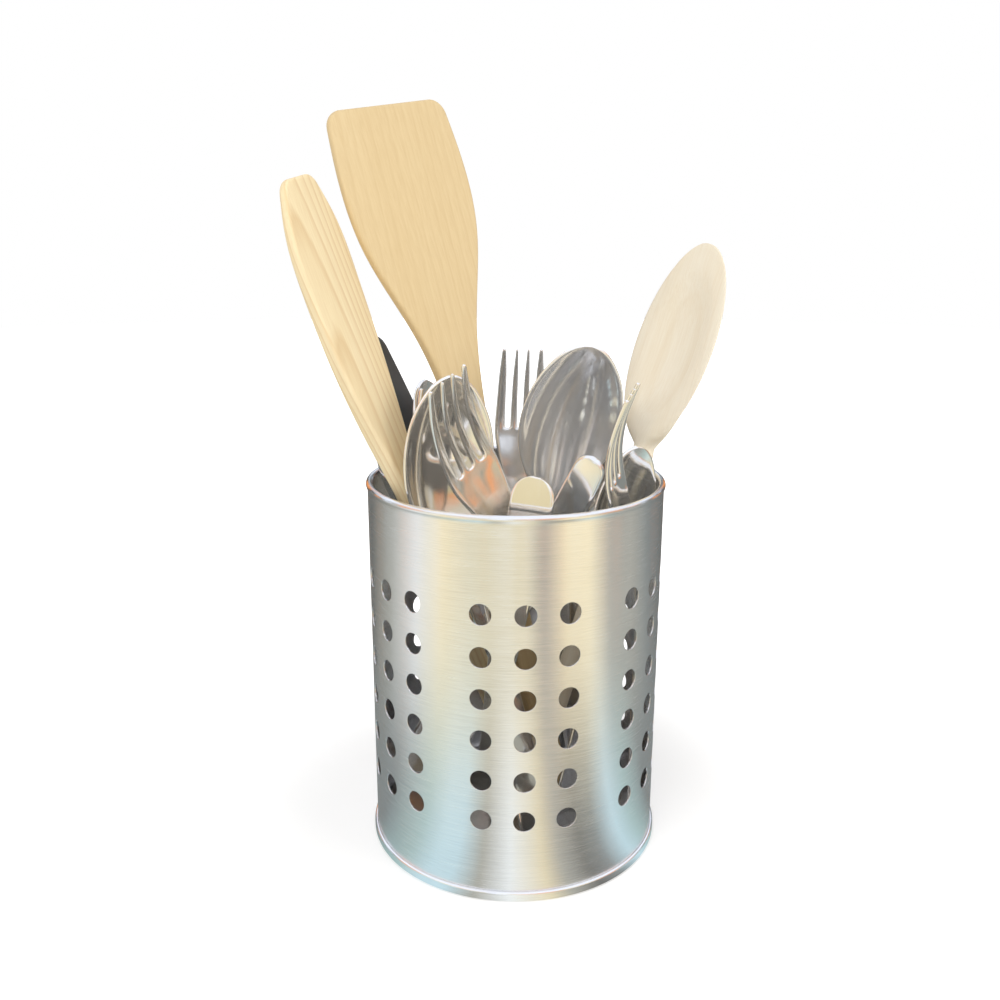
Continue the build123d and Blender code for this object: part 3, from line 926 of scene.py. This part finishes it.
def build_wooden_spoon():
    spoon = CARVED_SPOON
    place = seat("wooden_spoon", WOOD_END, spoon.gauge)
    material = wood("spoon_wood", place, (0.96, 0.91, 0.79), (0.88, 0.77, 0.57), (0.70, 0.53, 0.32),
                    60, (0.0, 0.06, 0.1), 0.12)
    end, swell = spoon.end, spoon.neck
    neck = spoon.length - spoon.bowl_length
    bowl_half, hollow, tip = bowl_shape(spoon, BOWL_TRIM + CARVED_EDGE / 2)
    handle = curve([
        (end, end), (neck * 0.5, end), (neck * 0.74, end), (neck * 0.92, swell), (neck + 16, swell * 1.2),
    ])
    levels = [0.05, 0.3, 0.8, 1.6, 2.8, 4.6] + list(np.arange(8, neck - 20, 5))
    levels += list(np.arange(neck - 18, tip - 9, 2.5))
    levels += [tip - gap for gap in (7, 5, 3.4, 2.2, 1.2, 0.5, 0.1)]
    turns = [math.pi * i / HALF_TURN_STEPS for i in range(HALF_TURN_STEPS + 1)]

    def section(s):
        rod = foot_width(end, s) if s < end else handle(min(s, neck + SWELL_AFTER))
        carved = ease(neck - CARVED_BEFORE, neck + CARVED_AFTER, s)
        rim = rim_height(spoon, s)
        half = rod
        if s > neck:
            half = (bowl_half(s) ** 4 + rod**4 * (1 - ease(neck, neck + CARVED_OUTLINE_AFTER, s))) ** 0.25
        half = max(half, LEAST_CARVED_HALF)
        front, back = [], []
        for angle in turns:
            t = math.cos(angle)
            x = half * t
            under = rim - hollow(s, x)
            inner = min(rim - BOWL_TRIM, under + spoon.gauge)
            outer = min(under, inner - CARVED_EDGE)
            middle, reach = (inner + outer) / 2, (inner - outer) / 2 * math.sqrt(1 - abs(t) ** 7)
            bulge = rod * math.sin(angle)
            front.append((x, bulge * (1 - carved) + (middle + reach) * carved))
            back.append((x, -bulge * (1 - carved) + (middle - reach) * carved))
        return front + back[-2:0:-1]

    obj = solid_piece("spoon_carving", place, levels, section)
    finish_piece(obj, "wooden_spoon", "wooden_spoon", material)


build_wooden_spoon()


# Knives, each from the end of its handle to its tip. They stand on the tip

KNIFE_HANDLE_SIDE = [(8, 8), (30, 8.2), (60, 7.6), (KNIFE_HANDLE_LENGTH, 6.8)]
KNIFE_BLADE_SIDE = [(88, 6.4), (102, 7.2), (146, 8.8), (178, 9.2), (204, 7.4), (217, 3.5), (224, 1.5)]
SMALL_KNIFE_SIDE = [
    (5.8, 5.8), (14, 6.2), (60, 5.4), (96, 4.6), (114, 6.6), (160, 7.6), (182, 6.4), (198, 1.6),
]
SMALL_KNIFE_THICKNESS = [(0, 3), (60, 3.6), (100, 2.8), (130, 2), (198, 1.4)]
KNIFE_HANDLE_END = 8
KNIFE_HANDLE_HALF = 2.1
KNIFE_HANDLE_FOOT = 1.6
KNIFE_HANDLE_ROUNDING = 1.3
BLADE_HALF = 0.8
BLADE_TAPER = 0.35
BLADE_TAPER_START = 100
BLADE_ROUNDING = 0.7
SMALL_KNIFE_END = 5.8
SMALL_KNIFE_FOOT = 1.5
SMALL_HANDLE_LENGTH = 100
SMALL_HANDLE_ROUNDING = 1.3
SMALL_BLADE_ROUNDING = 0.6
LEAST_KNIFE_HALF = 0.3
KNIFE_STEP = 4


def build_table_knife():
    place = turned_over(seat("table_knife", STEEL_END, 2 * STEEL), KNIFE_LENGTH)
    handle, blade = curve(KNIFE_HANDLE_SIDE), curve(KNIFE_BLADE_SIDE)

    def handle_section(s):
        half = foot_width(KNIFE_HANDLE_END, s) if s < KNIFE_HANDLE_END else handle(s)
        half_thick = rounded_foot(KNIFE_HANDLE_HALF, KNIFE_HANDLE_FOOT, s)
        return rounded_section(max(half, LEAST_KNIFE_HALF), half_thick, KNIFE_HANDLE_ROUNDING)

    def blade_section(s):
        half_thick = BLADE_HALF * (1 - BLADE_TAPER * ease(BLADE_TAPER_START, KNIFE_LENGTH, s))
        return rounded_section(blade(s), half_thick, BLADE_ROUNDING)

    levels = [0.05, 0.4, 1, 2, 3.5, 5.5, 8] + list(np.arange(12, KNIFE_HANDLE_LENGTH - 2, KNIFE_STEP))
    levels += [KNIFE_HANDLE_LENGTH - 0.4, KNIFE_HANDLE_LENGTH]
    grip = solid_piece("knife_grip", place, levels, handle_section)
    finish_piece(grip, "table_knife", "knife_handle", dark_plastic("handle_plastic"))

    levels = [KNIFE_HANDLE_LENGTH] + list(np.arange(91, 214, KNIFE_STEP))
    levels += [216, 219, 221.5, 223.2, KNIFE_LENGTH]
    steel = solid_piece("knife_blade_forging", place, levels, blade_section)
    finish_piece(steel, "table_knife", "knife_blade", BLADE_STEEL)


def build_small_knife():
    place = turned_over(seat("small_knife", STEEL_END, 2.4), SMALL_KNIFE_LENGTH)
    side, thick = curve(SMALL_KNIFE_SIDE), curve(SMALL_KNIFE_THICKNESS)

    def section(s):
        half = foot_width(SMALL_KNIFE_END, s) if s < SMALL_KNIFE_END else side(s)
        half_thick = rounded_foot(thick(s) / 2, SMALL_KNIFE_FOOT, s)
        rounding = SMALL_HANDLE_ROUNDING if s < SMALL_HANDLE_LENGTH else SMALL_BLADE_ROUNDING
        return rounded_section(max(half, LEAST_KNIFE_HALF), half_thick, rounding)

    levels = [0.05, 0.35, 0.9, 1.8, 3.2, 5.8] + list(np.arange(9, 190, KNIFE_STEP)) + [191, 194, 196.4, 198]
    obj = solid_piece("small_knife_forging", place, levels, section)
    finish_piece(obj, "small_knife", "small_knife", BLADE_STEEL)


build_table_knife()
build_small_knife()


# Floor, light and camera

# Tones of the studio that steel mirrors: walls in shade, lit walls and soft windows, from 0 to 255
DARK = (40, 45, 40)
DIM = (80, 90, 90)
SHADE = (130, 130, 120)
SAND = (195, 185, 150)
CREAM = (220, 205, 165)
FROST = (205, 210, 210)
SKY = (160, 190, 200)
SEA = (130, 160, 160)
WARM_PATCH = (232, 150, 84)
COOL_PATCH = (232, 240, 255)
CEILING = (236, 242, 255)

# Where each tone stands round the holder, as a share of a turn: first the walls, then the worktop close by
SURROUND = [
    (0.00, DIM), (0.10, DARK), (0.20, SHADE), (0.28, FROST), (0.34, CREAM), (0.40, SAND), (0.51, SAND),
    (0.545, SHADE), (0.59, CREAM), (0.64, CREAM), (0.69, SHADE), (0.75, SHADE), (0.82, DIM), (0.92, DARK),
    (1.00, DIM),
]
WORKTOP = [
    (0.00, DIM), (0.25, DIM), (0.34, SEA), (0.38, SKY), (0.41, SKY), (0.445, SHADE), (0.485, FROST),
    (0.53, SAND), (0.555, SHADE), (0.59, DARK), (0.62, DIM), (0.66, SKY), (0.70, SEA), (0.76, DIM),
    (1.00, DIM),
]

# Strengths of the floor's glow near and far from the holder, and of what steel mirrors
FLOOR_GLOW = 0.26
FLOOR_GLOW_FAR = 0.9
FLOOR_MIRRORED = 1.25
WORLD_MIRRORED = 1.25

# Floor sizes and distances from the holder's middle, metres
FLOOR_RADIUS = 2.5
FLOOR_STEPS = 96
FLOOR_DROP = 0.0002
GLOW_REACH = (0.08, 0.24)
WORKTOP_REACH = (0.11, 0.30)


def linear(rgb):
    return tuple(((c / 255 + 0.055) / 1.055) ** 2.4 for c in rgb)


def compass(tree, vector):
    """Share of a turn round the holder, 0.5 at the front and more to the right, and height."""
    split = add_node(tree, "ShaderNodeSeparateXYZ")
    tree.links.new(vector, split.inputs[0])
    turn = add_node(tree, "ShaderNodeMath", operation="ARCTAN2")
    tree.links.new(split.outputs["X"], turn.inputs[0])
    tree.links.new(times(tree, split.outputs["Y"], -1), turn.inputs[1])
    share = add_node(tree, "ShaderNodeMapRange")
    share.inputs["From Min"].default_value = -math.pi
    share.inputs["From Max"].default_value = math.pi
    tree.links.new(turn.outputs[0], share.inputs["Value"])
    return share.outputs["Result"], split.outputs["Z"]


def band_colours(tree, share, bands):
    return ramp(tree, share, [(position, linear(tone)) for position, tone in bands])


def eased(tree, value, reach, low=0.0, high=1.0):
    """Low before the reach and high past it, with a smooth step between."""
    node = add_node(tree, "ShaderNodeMapRange", interpolation_type="SMOOTHSTEP")
    limits = {"From Min": reach[0], "From Max": reach[1], "To Min": low, "To Max": high}
    for socket, limit in limits.items():
        node.inputs[socket].default_value = limit
    tree.links.new(value, node.inputs["Value"])
    return node.outputs["Result"]


def times_and_add(tree, value, factor, added):
    """A socket times a number, plus a number or another socket."""
    node = add_node(tree, "ShaderNodeMath", operation="MULTIPLY_ADD")
    tree.links.new(value, node.inputs[0])
    node.inputs[1].default_value = factor
    if isinstance(added, (int, float)):
        node.inputs[2].default_value = added
    else:
        tree.links.new(added, node.inputs[2])
    return node.outputs["Value"]


def mirror_rays(tree):
    """Sockets that are 1 for a camera ray, and for a ray that metal or glass sends on."""
    path = add_node(tree, "ShaderNodeLightPath")
    either = add_node(tree, "ShaderNodeMath", operation="MAXIMUM")
    tree.links.new(path.outputs["Is Glossy Ray"], either.inputs[0])
    tree.links.new(path.outputs["Is Transmission Ray"], either.inputs[1])
    return path.outputs["Is Camera Ray"], either.outputs["Value"]


def floor_material():
    """White for the camera, with the holder's shadow kept, and bands of tone for what steel mirrors."""
    material, tree, bsdf = shader("pale_floor", Roughness=0.8, Specular_IOR_Level=0.0)
    position = object_position(tree)
    share, _ = compass(tree, position)
    distance = add_node(tree, "ShaderNodeVectorMath", operation="LENGTH")
    tree.links.new(position, distance.inputs[0])
    away = eased(tree, distance.outputs["Value"], WORKTOP_REACH)
    bands = blend(tree, away, band_colours(tree, share, WORKTOP), band_colours(tree, share, SURROUND))
    camera_ray, mirrored = mirror_rays(tree)
    tree.links.new(blend(tree, mirrored, (1, 1, 1), bands), bsdf.inputs["Emission Color"])
    glow = eased(tree, distance.outputs["Value"], GLOW_REACH, FLOOR_GLOW, FLOOR_GLOW_FAR)
    seen = times(tree, glow, camera_ray)
    strength = times_and_add(tree, mirrored, FLOOR_MIRRORED, seen)
    tree.links.new(strength, bsdf.inputs["Emission Strength"])
    tree.links.new(blend(tree, mirrored, grey(0.80), grey(0.15)), bsdf.inputs["Base Color"])
    return material


def build_floor():
    mesh = bpy.data.meshes.new("floor")
    turns = [2 * math.pi * i / FLOOR_STEPS for i in range(FLOOR_STEPS)]
    edge = [(FLOOR_RADIUS * math.cos(turn), FLOOR_RADIUS * math.sin(turn), -FLOOR_DROP) for turn in turns]
    mesh.from_pydata(edge, [], [tuple(range(FLOOR_STEPS))])
    mesh.materials.append(floor_material())
    floor = bpy.data.objects.new("floor", mesh)
    bpy.context.scene.collection.objects.link(floor)


def build_world():
    """White for the camera, plain soft light for the rest, and a studio for what steel mirrors."""
    world = bpy.data.worlds.new("studio")
    bpy.context.scene.world = world
    world.use_nodes = True
    tree = world.node_tree
    background = tree.nodes["Background"]
    direction = add_node(tree, "ShaderNodeTexCoord").outputs["Generated"]
    share, height = compass(tree, direction)
    patches = noise(tree, scaled(tree, direction, (1, 1, 0.7)), 2.6, 2)
    warm = ramp(tree, patches, [(0.54, grey(0.0)), (0.58, grey(0.9))])
    cool = ramp(tree, patches, [(0.40, grey(0.9)), (0.45, grey(0.0))])
    high = ramp(tree, height, [(0.20, grey(0.0)), (0.55, grey(0.9))])
    studio = blend(tree, warm, band_colours(tree, share, SURROUND), linear(WARM_PATCH))
    studio = blend(tree, cool, studio, linear(COOL_PATCH))
    studio = blend(tree, high, studio, linear(CEILING))
    camera_ray, mirrored = mirror_rays(tree)
    lit = blend(tree, mirrored, grey(0.62), studio)
    tree.links.new(blend(tree, camera_ray, lit, (1, 1, 1)), background.inputs["Color"])
    strength = times_and_add(tree, mirrored, WORLD_MIRRORED - 1, 1.0)
    tree.links.new(strength, background.inputs["Strength"])


def area_light(name, location, target, size, power, colour):
    data = bpy.data.lights.new(name, "AREA")
    data.shape = "RECTANGLE"
    data.size = data.size_y = size
    data.energy = power
    data.color = colour
    obj = bpy.data.objects.new(name, data)
    bpy.context.scene.collection.objects.link(obj)
    obj.location = location
    obj.rotation_euler = (Vector(target) - Vector(location)).to_track_quat("-Z", "Y").to_euler()
    obj.visible_glossy = False


build_floor()
build_world()
area_light("key", (-0.45, -0.75, 0.95), (0, 0, 0.12), 0.7, 6.5, (1.0, 0.99, 0.97))
area_light("fill", (0.75, -0.45, 0.45), (0, 0, 0.2), 0.6, 3.5, (1.0, 0.97, 0.92))

# Camera: fitted to the photographed holes and rim, in degrees, metres and a lens in millimetres
CAMERA_AROUND = 3.93
CAMERA_DISTANCE = 0.4056
CAMERA_HEIGHT = 0.2554
CAMERA_DOWN = 15.12
CAMERA_ASIDE = -0.89
CAMERA_ROLL = 0.10
CAMERA_LENS = 36.864
CAMERA_SENSOR = 36.0
CAMERA_NEAR = 0.01


def build_camera():
    data = bpy.data.cameras.new("camera")
    data.lens = CAMERA_LENS
    data.sensor_width = CAMERA_SENSOR
    data.clip_start = CAMERA_NEAR
    camera = bpy.data.objects.new("camera", data)
    bpy.context.scene.collection.objects.link(camera)
    down, aside = math.radians(CAMERA_DOWN), math.radians(CAMERA_ASIDE)
    look = Vector((math.sin(aside) * math.cos(down), math.cos(aside) * math.cos(down), -math.sin(down)))
    right = look.cross(Vector((0, 0, 1))).normalized()
    up = right.cross(look)
    roll = math.radians(CAMERA_ROLL)
    right, up = right * math.cos(roll) + up * math.sin(roll), up * math.cos(roll) - right * math.sin(roll)
    pose = Matrix((right, up, -look)).transposed().to_4x4()
    pose.translation = Vector((0, -CAMERA_DISTANCE, CAMERA_HEIGHT))
    camera.matrix_world = Matrix.Rotation(-math.radians(CAMERA_AROUND), 4, "Z") @ pose
    bpy.context.scene.camera = camera


build_camera()
bpy.context.scene.view_settings.view_transform = "Standard"
